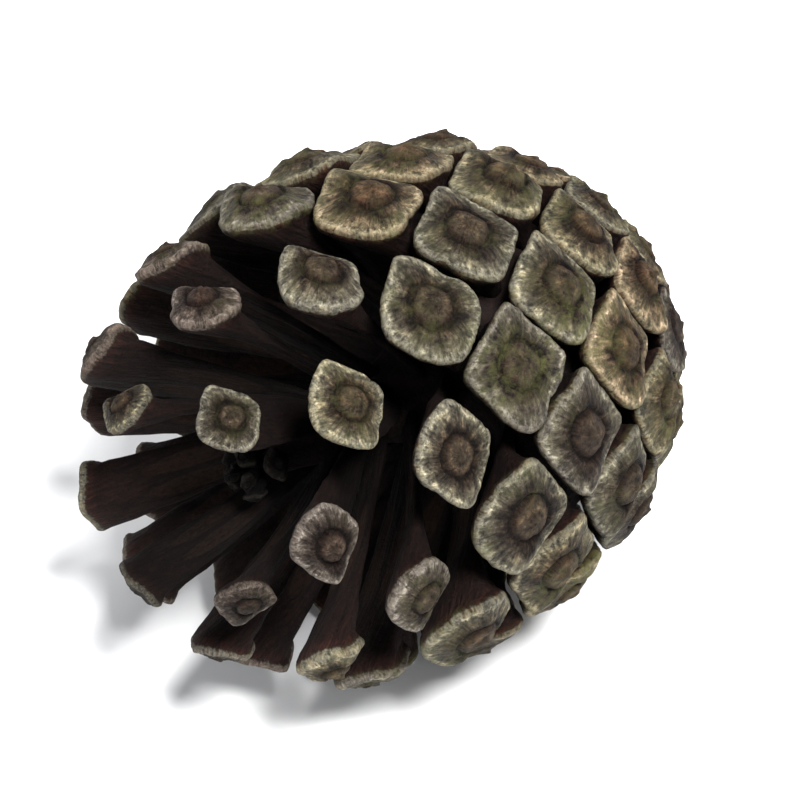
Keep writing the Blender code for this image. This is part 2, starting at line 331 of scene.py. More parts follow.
scale = {
    "sides": 40,
    "halfWidth": 3.9 * mm,
    "halfHeight": 3.4 * mm,
    "neckBack": 3.1 * mm,
    "neckInset": 1.0 * mm,
    "bladeLength": 12.0 * mm,
    # place along the blade from its root (1) to its neck (0), half width and half thickness
    "blade": (
        (1.0, 1.6 * mm, 0.80 * mm), (0.86, 1.8 * mm, 0.62 * mm), (0.68, 2.15 * mm, 0.52 * mm),
        (0.5, 2.5 * mm, 0.50 * mm), (0.32, 2.8 * mm, 0.52 * mm), (0.14, 3.0 * mm, 0.62 * mm),
        (0.0, 3.05 * mm, 0.85 * mm),
    ),
    # share of the face's outline and rise above it, from behind its edge to its centre
    "face": (
        (0.88, -1.1 * mm), (0.965, -0.65 * mm), (1.0, -0.2 * mm), (0.99, 0.0 * mm), (0.95, 0.13 * mm),
        (0.86, 0.25 * mm), (0.76, 0.38 * mm), (0.66, 0.56 * mm), (0.57, 0.78 * mm), (0.50, 0.90 * mm),
        (0.455, 0.66 * mm), (0.42, 0.70 * mm), (0.385, 1.06 * mm), (0.31, 1.24 * mm), (0.20, 1.30 * mm),
        (0.11, 1.44 * mm), (0.05, 1.60 * mm),
    ),
    # what the colours follow: 0 at the face's centre and 1 at its rim, then on round its edge to
    # the blade's neck and root
    "edgeZones": (1.4, 1.2),
    "neckZone": 1.6,
    "rootZone": 3.0,
    "tipRise": 1.66 * mm,
    "tipDroop": 0.35 * mm,
    "lastRingDroop": 0.21 * mm,
    "keel": 0.62 * mm,
    "keelSharpness": 10,
    "keelFrom": 0.45,
    "keelBlend": 0.2,
    "undersideWedge": 0.75 * mm,
    "undersideBlend": 0.5 * mm,
    "wedgeReach": 0.45,
    "scarDepth": 0.16 * mm,
    "scarOffset": 1.05 * mm,
    "scarWidth": 0.55 * mm,
    "scarStart": 0.12,
    "scarEnd": 0.85,
    "scarBlend": 0.15,
    "ribDepth": 0.14 * mm,
}

# the modelled scale's own directions, and the middle of its blade
faceNormal = np.array((0.0, -math.sin(slant), math.cos(slant)))
faceAlong = np.array((0.0, math.cos(slant), math.sin(slant)))
bladeMiddle = scale["halfHeight"] * math.cos(slant) - scale["neckInset"]
bladePoints = len(scale["blade"]) * scale["sides"]


def modelScale():
    piece = startCircle("scale", scale["sides"])
    width, height, at = 1.0, 1.0, Vector((0.0, 0.0, 0.0))
    for number, (place, halfWidth, halfThickness) in enumerate(scale["blade"]):
        to = Vector((0.0, bladeMiddle, -scale["neckBack"] - place * scale["bladeLength"]))
        stepOn(number, to - at)
        grow = (halfWidth / width, halfThickness / height, 1.0)
        bpy.ops.transform.resize(value=grow, center_override=to)
        width, height, at = halfWidth, halfThickness, to
    share = 1.0
    for number, (nextShare, rise) in enumerate(scale["face"]):
        to = Vector(faceNormal) * rise
        bpy.ops.mesh.extrude_region_move(TRANSFORM_OT_translate={"value": to - at})
        if number == 0:  # the blade's flat section opens out into the face's outline, and tips to its slant
            grow = (scale["halfWidth"] / width, scale["halfHeight"] / height, 1.0)
            bpy.ops.transform.resize(value=grow, center_override=to)
            bpy.ops.transform.rotate(value=-slant, orient_axis="X", center_override=to)
        grow = nextShare / share
        bpy.ops.transform.resize(value=(grow, grow, grow), center_override=to)
        share, at = nextShare, to
    bpy.ops.mesh.poke()
    bpy.ops.object.mode_set(mode="OBJECT")
    return piece


def zoneNumbers():
    # one for each ring of the modelled scale, and 0 for the point at the face's centre
    neckZone, bladeZone = scale["neckZone"], scale["rootZone"] - scale["neckZone"]
    bladeZones = [neckZone + bladeZone * place for place, _, _ in scale["blade"]]
    faceZones = list(scale["edgeZones"]) + [share for share, _ in scale["face"][2:]]
    return np.append(np.repeat(bladeZones + faceZones, scale["sides"]), 0.0)


def shapeFace(face):
    # the keel across the face, and the drooping tip of the umbo
    side = face[:, 0] / scale["halfWidth"]
    up = face @ faceAlong / scale["halfHeight"]
    share = np.hypot(side, up)
    ridge = np.abs(side / np.maximum(share, 1e-6)) ** scale["keelSharpness"]
    outside = np.clip((share - scale["keelFrom"]) / scale["keelBlend"], 0.0, 1.0)
    face += faceNormal * (scale["keel"] * ridge * outside)[:, None]
    face[-1] = faceNormal * scale["tipRise"] - faceAlong * scale["tipDroop"]
    face[-1 - scale["sides"]:-1] -= faceAlong * scale["lastRingDroop"]


def shapeBlade(blade):
    # the two seed scars on its upper side, and the rib and the thick end on its underside
    place = (-scale["neckBack"] - blade[:, 2]) / scale["bladeLength"]
    upper = blade[:, 1] > bladeMiddle
    beside = np.exp(-(((np.abs(blade[:, 0]) - scale["scarOffset"]) / scale["scarWidth"]) ** 2))
    fadeIn = np.clip(place / scale["scarStart"], 0.0, 1.0)
    fadeOut = np.clip((scale["scarEnd"] - place) / scale["scarBlend"], 0.0, 1.0)
    blade[:, 1] -= upper * beside * fadeIn * fadeOut * scale["scarDepth"]
    rib = np.exp(-((blade[:, 0] / scale["scarWidth"]) ** 2)) * np.clip(1.0 - place, 0.0, 1.0)
    wedge = np.clip(1.0 - place / scale["wedgeReach"], 0.0, 1.0) ** 2
    below = np.clip((bladeMiddle - blade[:, 1]) / scale["undersideBlend"], 0.0, 1.0)
    blade[:, 1] -= below * (wedge * scale["undersideWedge"] + rib * scale["ribDepth"])


def shapeScale(piece):
    points = pointsOf(piece.data)
    shapeBlade(points[:bladePoints])
    shapeFace(points[bladePoints:])
    setPoints(piece.data, points)
    addValue(piece.data, "zone", zoneNumbers())
    addVector(piece.data, "onScale", points / mm)


# Fitting a copy of the scale to its place

fit = {
    "cellGap": 0.16 * mm,
    "leastHalfCell": 0.3 * mm,
    "cellRounding": 24.0,
    "squareness": 1.35,
    "closedGrow": 1.4,
    "openGrow": 1.02,
    "neighbourReach": 15.0 * mm,
    "edgeWear": 0.016,
    "umboDrift": 0.35 * mm,
    "umboRoundness": 0.65,
    "umboFrom": 0.36,
    "umboBlend": 0.16,
    "riseSpread": 0.18,
    "edgeWaves": ((3, 1.0), (5, 0.8), (8, 0.6), (13, 0.4)),
    "neckWidthShare": 0.80,
    "longestBlade": 16.0 * mm,
    "shortestBlade": 4.5 * mm,
    "rootSink": 1.2 * mm,
    "bendPlace": 0.5,
    "chipDepth": 0.06,
    "chipWidth": 0.16,
    "wearSeed": 23,
    "wearDraws": 8,
}

# which of a scale's draws each kind of wear takes, after the first ones, for its edge's waves
wearOf = {"rise": 4, "tint": 5, "chip": 6, "umbo": 7}

spine = {
    "baseRadius": 3.4 * mm,
    "tipRadius": 1.3 * mm,
    "top": 35.5 * mm,
    "tipHeight": 1.5 * mm,
    "tipShare": 0.5,
    "funnelBottom": 15.0 * mm,
    "heartDepth": 2.9 * mm,
    "heartRimPlace": 0.66,
    "heartStations": 6,
    "sides": 24,
    "smoothing": 2,
    "weathering": ((1.5 * mm, 0.5 * mm),),
}


def spineRadius(height):
    heights, radii = (spine["funnelBottom"], spine["top"]), (spine["baseRadius"], spine["tipRadius"])
    return float(np.interp(height, heights, radii))


def faceReach(site, angles):
    # how far the face reaches each way: its share of the outside, cut to its own size
    pressure = np.zeros(len(angles))
    for other in sites:
        gap = other["centre"] - site["centre"]
        far = float(np.linalg.norm(gap))
        if other is site or far > fit["neighbourReach"]:
            continue
        bearing = math.atan2(gap @ site["along"], gap @ site["across"])
        half = max(0.5 * (far - fit["cellGap"]), fit["leastHalfCell"])
        pressure += np.maximum(0.0, np.cos(angles - bearing) / half) ** fit["cellRounding"]
    grown = site["size"] * (fit["closedGrow"] + (fit["openGrow"] - fit["closedGrow"]) * site["open"])
    wide, high = scale["halfWidth"] * grown, scale["halfHeight"] * grown
    power = fit["squareness"]
    own = np.abs(np.cos(angles) / wide) ** power + np.abs(np.sin(angles) / high) ** power
    own = own ** (-1.0 / power)
    return (pressure + own ** -fit["cellRounding"]) ** (-1.0 / fit["cellRounding"])


def bladeCurve(site, neck):
    # the foot in the spine and the bend point of the blade's centre line
    centre = site["centre"]
    toSpine = (site["radius"] - spineRadius(centre[2]) + fit["rootSink"]) / math.sin(site["lean"])
    toTop = centre[2] - spine["top"] + 2.0 * fit["rootSink"]
    reach = max(min(toSpine, fit["longestBlade"]), toTop, fit["shortestBlade"])
    height = centre[2] - reach * site["outward"][2]
    depth = min(site["radius"], spineRadius(height) - fit["rootSink"])
    foot = unit(0.5 * math.pi, site["turn"]) * depth + np.array((0.0, 0.0, height))
    inset = (neck - centre) @ site["inner"]
    bend = centre - site["outward"] * (fit["bendPlace"] * reach) + site["inner"] * inset
    return foot, bend


def fittedFace(site, face, wear):
    side, up, rise = face[:, 0], face @ faceAlong, face @ faceNormal
    angles = np.arctan2(up, side)
    modelled = 1.0 / np.hypot(np.cos(angles) / scale["halfWidth"], np.sin(angles) / scale["halfHeight"])
    worn = 1.0 - fit["edgeWear"] * sum(
        weight * (0.5 + 0.5 * np.cos(waves * angles + wear[n]))
        for n, (waves, weight) in enumerate(fit["edgeWaves"]))
    fromChip = (angles - wear[wearOf["chip"]] + math.pi) % (2.0 * math.pi) - math.pi
    worn = worn - fit["chipDepth"] * np.exp(-((fromChip / fit["chipWidth"]) ** 2))
    inside = np.clip(1.0 - np.hypot(side, up) / modelled, 0.0, 1.0)
    # the umbo is rounder than the face
    reach = faceReach(site, angles)
    rounding = fit["umboRoundness"] * np.clip((inside - fit["umboFrom"]) / fit["umboBlend"], 0.0, 1.0)
    reach += (reach.mean() - reach) * rounding
    grow = reach * worn / modelled
    drift = fit["umboDrift"] * site["size"] * inside
    spread = 1.0 + fit["riseSpread"] * math.cos(wear[wearOf["rise"]]) * (rise > 0.0)
    driftTurn = wear[wearOf["umbo"]]
    return (
        site["centre"]
        + np.outer(side * grow + drift * math.cos(driftTurn), site["across"])
        + np.outer(up * grow + drift * math.sin(driftTurn), site["along"])
        + np.outer(rise * site["size"] * spread, site["normal"]))


def fittedBlade(site, blade):
    # the blade bends along a curve with three control points: its foot, a bend point and its neck
    size = site["size"]
    wide, top = faceReach(site, np.array([0.0, 0.5 * math.pi]))
    inset = top * math.cos(slant) - scale["neckInset"] * size
    neck = site["centre"] - site["outward"] * (scale["neckBack"] * size) + site["inner"] * inset
    foot, bend = bladeCurve(site, neck)
    place = ((-scale["neckBack"] - blade[:, 2]) / scale["bladeLength"])[:, None]
    line = neck * (1 - place) ** 2 + bend * 2 * place * (1 - place) + foot * place ** 2
    heading = (neck - bend) * (1 - place) + (bend - foot) * place
    lift = np.cross(heading, site["across"])
    lift /= np.linalg.norm(lift, axis=1, keepdims=True)
    neckGrow = fit["neckWidthShare"] * wide / scale["blade"][-1][1]
    widthGrow = neckGrow * (1 - place) + size * place
    return (
        line
        + site["across"] * blade[:, :1] * widthGrow
        + lift * (blade[:, 1:2] - bladeMiddle) * size)


# The rows: every thirteenth scale lies on the same steep spiral, and is joined into the same piece.
# The small scales at both ends are shared out among them.

rows = {
    "count": 13,
    "smoothing": 1,
    "weathering": ((1.8 * mm, 0.3 * mm), (0.45 * mm, 0.12 * mm)),
}


def fittedCopy(modelled, points, site, wear, laid):
    copy = modelled.copy()
    copy.data = modelled.data.copy()
    bpy.context.scene.collection.objects.link(copy)
    face, blade = points[bladePoints:], points[:bladePoints]
    setPoints(copy.data, np.concatenate([fittedBlade(site, blade), fittedFace(site, face, wear)]))
    copy.data.transform(laid)
    ones = np.ones(len(points))
    addValue(copy.data, "own", ones * wear[wearOf["tint"]] / (2.0 * math.pi))
    addValue(copy.data, "open", ones * site["open"])
    # painted shade of the hollow round the tip, one value for each scale
    addValue(copy.data, "paintedShade", ones * curveAt(scaleLook["paintedShadeAtTip"], site["place"]))
    return copy


def makeRows(laid):
    modelled = modelScale()
    shapeScale(modelled)
    points = pointsOf(modelled.data)
    draws = np.random.default_rng(fit["wearSeed"])
    wears = draws.uniform(0.0, 2.0 * math.pi, (len(sites), fit["wearDraws"]))
    pieces = []
    for row in range(rows["count"]):
        copies = [
            fittedCopy(modelled, points, site, wears[site["number"]], laid)
            for site in sites[row::rows["count"]]]
        onlySelect(*copies)
        bpy.ops.object.join()
        piece = bpy.context.object
        piece.name = f"scale_row_{row + 1:02d}"
        piece.data.name = piece.name
        finishSurface(piece, rows["smoothing"], rows["weathering"])
        # what would stand out past the solid's box is worn flat, as on the flats that it lies on
        setPoints(piece.data, np.clip(pointsOf(piece.data), np.array(cadBox[0]), np.array(cadBox[1])))
        pieces.append(piece)
    bpy.data.objects.remove(modelled)
    return pieces


# The spine, with the heart that the closed scales hide

def makeSpine(laid):
    radius, height, lean = coneProfile()
    heights = spiralPlaces()[1]
    rimNumber = spine["heartRimPlace"] * spiral["scales"]
    rimHeight = float(np.interp(rimNumber, np.arange(spiral["scales"]) + 0.5, heights))
    rings = []
    for station in np.linspace(height[0], rimHeight, spine["heartStations"]):
        surface = float(np.interp(station, height, radius))
        tilt = float(np.interp(station, height, lean))
        rings.append((
            surface - spine["heartDepth"] * math.sin(tilt), station - spine["heartDepth"] * math.cos(tilt)))
    rings += [
        (spine["baseRadius"], spine["funnelBottom"]),
        (spine["tipRadius"], spine["top"] - spine["tipHeight"]),
        (spine["tipRadius"] * spine["tipShare"], spine["top"]),
    ]
    piece = extrudeRings("spine", spine["sides"], rings)
    finishSurface(piece, spine["smoothing"], spine["weathering"])
    piece.data.transform(laid)
    return piece


# The stalk's broken stub: ridged bark, and splinters at the break

stub = {
    "radius": 2.2 * mm,
    "length": 3.2 * mm,
    "sides": 28,
    "ridges": 9,
    "ridgeDepth": 0.14,
    "ridgeTurn": 0.4,
    "ridgeTwist": 0.25,
    "splinter": 0.5 * mm,
    "splinterRange": (-0.2, 1.0),
    "splinterSeed": 5,
    # share of the radius and height, from inside the base out to the broken end
    "rings": (
        (1.0, 5.2 * mm), (1.04, 0.9 * mm), (0.99, 0.1 * mm), (0.93, -0.6 * mm), (0.86, -1.3 * mm),
        (0.87, -1.7 * mm), (0.82, -2.3 * mm), (0.81, -2.75 * mm), (0.74, -2.95 * mm), (0.66, -2.6 * mm),
        (0.58, -2.95 * mm), (0.40, -2.8 * mm), (0.22, -2.55 * mm), (0.10, -2.7 * mm),
    ),
    "splintersFrom": 7,
    "woodFrom": 9,
    "smoothing": 2,
    "weathering": ((0.6 * mm, 0.14 * mm),),
}


def makeStub(laid):
    sides, count = stub["sides"], len(stub["rings"])
    rings = [(share * stub["radius"], height) for share, height in stub["rings"]]
    piece = extrudeRings("stalk_stub", sides, rings)
    points = pointsOf(piece.data)
    draw = np.random.default_rng(stub["splinterSeed"])
    turns = np.arange(sides) * 2.0 * math.pi / sides
    for ring in range(1, count):
        part = points[ring * sides:(ring + 1) * sides]
        if ring < stub["woodFrom"]:
            ridge = np.cos(turns * stub["ridges"] + stub["ridgeTurn"] + stub["ridgeTwist"] * ring)
            part[:, :2] *= 1.0 - stub["ridgeDepth"] * (0.5 + 0.5 * ridge[:, None])
        if ring >= stub["splintersFrom"]:
            part[:, 2] += draw.uniform(*stub["splinterRange"], sides) * stub["splinter"]
    points[:, 2] = np.maximum(points[:, 2], -stub["length"])
    setPoints(piece.data, points)
    wood = np.repeat(np.arange(count) >= stub["woodFrom"], sides)
    addValue(piece.data, "wood", wood.astype(float))
    finishSurface(piece, stub["smoothing"], stub["weathering"])
    piece.data.transform(laid)
    return piece


# Small helpers for materials

def startMaterial(name):
    material = bpy.data.materials.new(name)
    material.use_nodes = True
    return material, material.node_tree.nodes["Principled BSDF"]


def give(tree, socket, value):
    # a socket takes another node's output, or a value of its own
    if isinstance(value, bpy.types.NodeSocket):
        tree.links.new(value, socket)
    else:
        socket.default_value = value


def addNode(tree, kind, inputs=None, **settings):
    node = tree.nodes.new(kind)
    for name, value in settings.items():
        setattr(node, name, value)
    for name, value in (inputs or {}).items():
        give(tree, node.inputs[name], value)
    return node


def addMath(tree, operation, first, second=0.0, clamp=False):
    node = addNode(tree, "ShaderNodeMath", operation=operation, use_clamp=clamp)
    give(tree, node.inputs[0], first)
    give(tree, node.inputs[1], second)
    return node.outputs[0]


def times(tree, *values):
    product = values[0]
    for value in values[1:]:
        product = addMath(tree, "MULTIPLY", product, value)
    return product


def plus(tree, *values):
    total = values[0]
    for value in values[1:]:
        total = addMath(tree, "ADD", total, value)
    return total


def swing(tree, pattern, amount):
    # a pattern's swing to both sides of its middle
    return times(tree, addMath(tree, "SUBTRACT", pattern, 0.5), amount)


def risesFrom(tree, value, start, steepness):
    # rises from 0 to 1 from a start on
    return addMath(tree, "MULTIPLY", addMath(tree, "SUBTRACT", value, start), steepness, clamp=True)


def fallsTo(tree, value, end, steepness):
    # falls from 1 to 0 towards an end
    return addMath(tree, "MULTIPLY", addMath(tree, "SUBTRACT", end, value), steepness, clamp=True)


def addVectors(tree, first, second):
    return addNode(tree, "ShaderNodeVectorMath", inputs={0: first, 1: second}, operation="ADD").outputs[0]


def scaledVector(tree, vector, amount):
    return addNode(
        tree, "ShaderNodeVectorMath", inputs={0: vector, "Scale": amount}, operation="SCALE").outputs[0]


def addMix(tree, amount, first, second, blend="MIX"):
    node = addNode(tree, "ShaderNodeMix", data_type="RGBA", blend_type=blend)
    for number, value in ((0, amount), (6, first), (7, second)):
        give(tree, node.inputs[number], value)
    return node.outputs[2]


def addRamp(tree, value, stops, interpolation="LINEAR"):
    # a stop is a place and a colour, or a place and a level of grey
    node = addNode(tree, "ShaderNodeValToRGB", inputs={0: value})
    node.color_ramp.interpolation = interpolation
    places = node.color_ramp.elements
    while len(places) < len(stops):
        places.new(0.5)
    for element, (place, colour) in zip(places, stops):
        element.position = place
        element.color = (colour, colour, colour, 1.0) if isinstance(colour, float) else (*colour, 1.0)
    return node.outputs[0]


def addNoise(tree, vector, size, detail, roughness):
    return addNode(tree, "ShaderNodeTexNoise", inputs={
        "Vector": vector, "Scale": size, "Detail": detail, "Roughness": roughness}).outputs["Fac"]


def readField(tree, name, output="Fac"):
    return addNode(tree, "ShaderNodeAttribute", attribute_name=name).outputs[output]


def finishShader(tree, shader, look, colour, relief, roughness):
    bump = addNode(tree, "ShaderNodeBump", inputs={
        "Height": relief, "Strength": 1.0, "Distance": look["reliefDepth"]})
    tree.links.new(colour, shader.inputs["Base Color"])
    tree.links.new(bump.outputs[0], shader.inputs["Normal"])
    tree.links.new(roughness, shader.inputs["Roughness"])
    shader.inputs["Specular IOR Level"].default_value = look["specular"]


# The uneven weathering that all the wood shares: a coarse and a fine pattern, and their roughness

weatheringLook = {
    "detail": 5.0,
    "coarseRoughness": 0.65,
    "fineRoughness": 0.62,
    "finerBy": 3.1,
    "roughnessSpread": 0.2,
}


def weatheringGroup():
    tree = bpy.data.node_groups.new("weathering", "ShaderNodeTree")
    tree.interface.new_socket("Vector", in_out="INPUT", socket_type="NodeSocketVector")
    for name in ("Scale", "Least"):
        tree.interface.new_socket(name, in_out="INPUT", socket_type="NodeSocketFloat")
    for name in ("Coarse", "Fine", "Roughness"):
        tree.interface.new_socket(name, in_out="OUTPUT", socket_type="NodeSocketFloat")
    given = tree.nodes.new("NodeGroupInput").outputs
    look = weatheringLook
    coarse = addNoise(tree, given["Vector"], given["Scale"], look["detail"], look["coarseRoughness"])
    finer = times(tree, given["Scale"], look["finerBy"])
    fine = addNoise(tree, given["Vector"], finer, look["detail"], look["fineRoughness"])
    rough = plus(tree, times(tree, fine, look["roughnessSpread"]), given["Least"])
    addNode(tree, "NodeGroupOutput", inputs={"Coarse": coarse, "Fine": fine, "Roughness": rough})
    return tree


def addWeathering(tree, weathering, vector, look):
    return addNode(tree, "ShaderNodeGroup", node_tree=weathering, inputs={
        "Vector": vector, "Scale": look["mottleSize"], "Least": look["leastRoughness"]}).outputs


# The look of the scales. Pattern sizes are spots in a millimetre of the modelled scale, and those of
# the lichen are spots in a metre of the cone.

scaleLook = {
    # colour along the scale: the face's centre at 0, its rim at 1/3, the blade's root at 1. Painted light
    # and shade are in it: the near-black ring round the umbo is painted shade in its groove, the pale line
    # at the rim is partly pale worn wood and partly a painted highlight, the dark band just past the rim on
    # the scale's sides is painted shade in the gaps between the scales, and the blades are painted near
    # black and darker towards the root, as shade over their own dark brown
    "alongScaleWithPaintedShade": (
        (0.0, (0.085, 0.068, 0.052)), (0.035, (0.034, 0.023, 0.017)), (0.09, (0.055, 0.040, 0.030)),
        (0.125, (0.024, 0.015, 0.011)), (0.150, (0.002, 0.001, 0.0007)), (0.168, (0.010, 0.006, 0.004)),
        (0.195, (0.021, 0.015, 0.012)), (0.235, (0.043, 0.036, 0.030)), (0.285, (0.076, 0.069, 0.058)),
        (0.314, (0.165, 0.156, 0.139)), (0.333, (0.070, 0.061, 0.051)), (0.350, (0.012, 0.007, 0.005)),
        (0.375, (0.013, 0.0045, 0.003)), (0.42, (0.006, 0.0024, 0.0017)),
        (0.60, (0.0035, 0.0014, 0.001)), (1.0, (0.002, 0.001, 0.0008)),
    ),
    "mottleDrift": 0.10,
    "rayDrift": 0.09,
    # where the face ends, the blade begins and an open scale's pale rim goes on over its edge: a
    # zone, and how steeply it sets in
    "faceEnd": (1.3, 5.0),
    "bladeStart": (1.1, 4.0),
    "edgePaleStart": (0.95, 5.0),
    "edgePale": 0.05,
    # each scale has a tint of its own, from pinkish grey to a warm tan
    "tints": (
        (0.0, (1.0, 0.80, 0.74)), (0.28, (1.0, 0.92, 0.88)), (0.52, (1.0, 0.98, 0.82)),
        (0.75, (1.06, 0.96, 0.66)), (1.0, (1.10, 0.88, 0.64)),
    ),
    "tintByOwn": 0.65,
    "tintByClosed": 0.32,
    "tintByMottle": 0.8,
    "leastBrightness": 0.75,
    "brightnessSpread": 0.5,
    # the sterile scales at the tip stay dark
    # painted shade: the scales nearest the tip, deep in the open hollow, are painted darker, and the small
    # sterile ones at the very tip nearly black
    "paintedShadeAtTip": ((0.0, 1.0), (0.9, 1.0), (0.99, 0.7), (1.0, 0.12)),
    # each scale reads its patterns at a place of its own, this many millimetres off at the most
    "apart": (37.0, 91.0, 53.0),
    # weathered patches of a millimetre or so on the faces, and finer blotches all over
    "patches": ((0.32, 0.22), (0.43, 0.7), (0.53, 1.05), (0.64, 2.0)),
    "mottleSize": 1.1,
    "blotches": ((0.32, 0.2), (0.46, 0.85), (0.57, 1.1), (0.70, 1.9)),
    "blotchShare": 0.9,
    # streaks along the blades: a noise is a size, a detail and a roughness
    "streaks": ((0.3, 0.4), (0.7, 1.9)),
    "streakStretch": (3.0, 3.0, 0.22),
    "streakNoise": (1.0, 4.0, 0.6),
    # rays that run out from the middle of the faces
    "rays": ((0.32, 0.45), (0.5, 1.0), (0.7, 1.3)),
    "rayShare": 0.8,
    "raysRound": 7.0,
    "raysOut": 1.6,
    "rayNoise": (1.6, 4.0, 0.65),
    # the colour of the seed scars, with the middle and the half size of their ovals in millimetres
    "seedScar": (0.014, 0.007, 0.0045),
    "scarMiddle": (scale["scarOffset"] / mm + 0.1, -7.6),
    "scarHalfSize": (0.95, 3.6),
    "scarEdge": 3.0,
    "scarSide": (0.1, 12.0),
    "scarShare": 0.8,
    "lichen": (0.085, 0.086, 0.030),
    "lichenPatch": (0.42, 5.0),
    "lichenPatchNoise": (110.0, 3.0, 0.55),
    "lichenCrust": (0.40, 4.0),
    "lichenCrustNoise": (1100.0, 3.0, 0.7),
    "lichenOnOpen": 0.25,
    "lichenMoreOnClosed": 0.3,
    "leastRoughness": 0.66,
    "specular": 0.1,
    "reliefDepth": 0.3 * mm,
    "fineRelief": 0.8,
    "crustRelief": 0.3,
}


def faceRays(tree, onScale, zone, apart):
    # the noise is read by the heading from the face's centre, and by the zone
    up = addNode(tree, "ShaderNodeVectorMath", operation="DOT_PRODUCT", inputs={
        0: onScale, 1: tuple(faceAlong)}).outputs["Value"]
    side = addNode(tree, "ShaderNodeSeparateXYZ", inputs={0: onScale}).outputs["X"]
    flat = addNode(tree, "ShaderNodeCombineXYZ", inputs={"X": side, "Y": up}).outputs[0]
    heading = addNode(tree, "ShaderNodeVectorMath", operation="NORMALIZE", inputs={0: flat}).outputs[0]
    outward = addNode(tree, "ShaderNodeCombineXYZ", inputs={
        "Z": times(tree, zone, scaleLook["raysOut"])}).outputs[0]
    ray = addVectors(tree, scaledVector(tree, heading, scaleLook["raysRound"]), outward)
    return addNoise(tree, addVectors(tree, ray, apart), *scaleLook["rayNoise"])


def bladeStreaks(tree, spot):
    stretched = addNode(tree, "ShaderNodeMapping", inputs={
        "Vector": spot, "Scale": scaleLook["streakStretch"]}).outputs[0]
    return addNoise(tree, stretched, *scaleLook["streakNoise"])


def seedScars(tree, onScale, onBlade):
    # two long ovals beside the middle of the blade's upper side
    look = scaleLook
    side, up, out = addNode(tree, "ShaderNodeSeparateXYZ", inputs={0: onScale}).outputs
    across = addMath(tree, "SUBTRACT", addMath(tree, "ABSOLUTE", side), look["scarMiddle"][0])
    across = addMath(tree, "DIVIDE", across, look["scarHalfSize"][0])
    along = addMath(tree, "SUBTRACT", out, look["scarMiddle"][1])
    along = addMath(tree, "DIVIDE", along, look["scarHalfSize"][1])
    oval = plus(tree, times(tree, across, across), times(tree, along, along))
    oval = fallsTo(tree, oval, 1.0, look["scarEdge"])
    aboveMiddle, steepness = look["scarSide"]
    upper = risesFrom(tree, up, bladeMiddle / mm + aboveMiddle, steepness)
    return times(tree, oval, upper, onBlade, look["scarShare"])


def lichenCover(tree, onFace, closed, paintedShade):
    # green patches that break up into a crust, and its relief; the painted shade at the tip dims them too
    look = scaleLook
    place = addNode(tree, "ShaderNodeTexCoord").outputs["Object"]
    patch = addNoise(tree, place, *look["lichenPatchNoise"])
    crust = addNoise(tree, place, *look["lichenCrustNoise"])
    share = plus(tree, times(tree, closed, look["lichenMoreOnClosed"]), look["lichenOnOpen"])
    grown = risesFrom(tree, patch, *look["lichenPatch"])
    speckle = risesFrom(tree, crust, *look["lichenCrust"])
    return times(tree, grown, speckle, onFace, share, paintedShade), crust


def scaleMaterial(weathering):
    look = scaleLook
    material, shader = startMaterial("cone_scale")
    tree = material.node_tree
    zone, own, paintedShade = readField(tree, "zone"), readField(tree, "own"), readField(tree, "paintedShade")
    openShare = readField(tree, "open")
    closed = addMath(tree, "SUBTRACT", 1.0, openShare)
    onScale = readField(tree, "onScale", "Vector")
    apart = scaledVector(tree, look["apart"], own)
    spot = addVectors(tree, onScale, apart)
    onFace = fallsTo(tree, zone, *look["faceEnd"])
    onBlade = risesFrom(tree, zone, *look["bladeStart"])
    weathered = addWeathering(tree, weathering, spot, look)
    mottle, fine = weathered["Coarse"], weathered["Fine"]
    rays = faceRays(tree, onScale, zone, apart)
    streaks = bladeStreaks(tree, spot)

    # the colour along the scale, with its painted shade and highlight, and its rings made uneven
    pastRim = times(tree, risesFrom(tree, zone, *look["edgePaleStart"]), openShare, look["edgePale"])
    ringPlace = addMath(tree, "SUBTRACT", addMath(tree, "DIVIDE", zone, scale["rootZone"]), pastRim)
    drift = plus(tree, swing(tree, mottle, look["mottleDrift"]), swing(tree, rays, look["rayDrift"]))
    colour = addRamp(tree, addMath(tree, "ADD", ringPlace, drift, clamp=True), look["alongScaleWithPaintedShade"])
    colour = addMix(tree, onBlade, colour, addRamp(tree, streaks, look["streaks"]), "MULTIPLY")
    colour = addMix(tree, seedScars(tree, onScale, onBlade), colour, (*look["seedScar"], 1.0))

    # its weathering, each scale's own brightness and tint, and the painted shade of the hollow at the tip
    colour = addMix(tree, look["blotchShare"], colour, addRamp(tree, fine, look["blotches"]), "MULTIPLY")
    colour = addMix(tree, onFace, colour, addRamp(tree, mottle, look["patches"]), "MULTIPLY")
    rayShare = times(tree, onFace, look["rayShare"])
    colour = addMix(tree, rayShare, colour, addRamp(tree, rays, look["rays"]), "MULTIPLY")
    brightness = plus(tree, times(tree, own, look["brightnessSpread"]), look["leastBrightness"])
    colour = addMix(tree, 1.0, colour, times(tree, brightness, paintedShade), "MULTIPLY")
    tintPlace = plus(
        tree, times(tree, own, look["tintByOwn"]), times(tree, closed, look["tintByClosed"]),
        swing(tree, mottle, look["tintByMottle"]))
    colour = addMix(tree, onFace, colour, addRamp(tree, tintPlace, look["tints"]), "MULTIPLY")
    lichen, crust = lichenCover(tree, onFace, closed, paintedShade)
    colour = addMix(tree, lichen, colour, (*look["lichen"], 1.0))

    relief = plus(
        tree, times(tree, fine, look["fineRelief"]), times(tree, rays, onFace),
        times(tree, streaks, onBlade), times(tree, crust, look["crustRelief"]))
    finishShader(tree, shader, look, colour, relief, weathered["Roughness"])
    return material


# The look of the spine and the stub. Pattern sizes are spots in a metre.

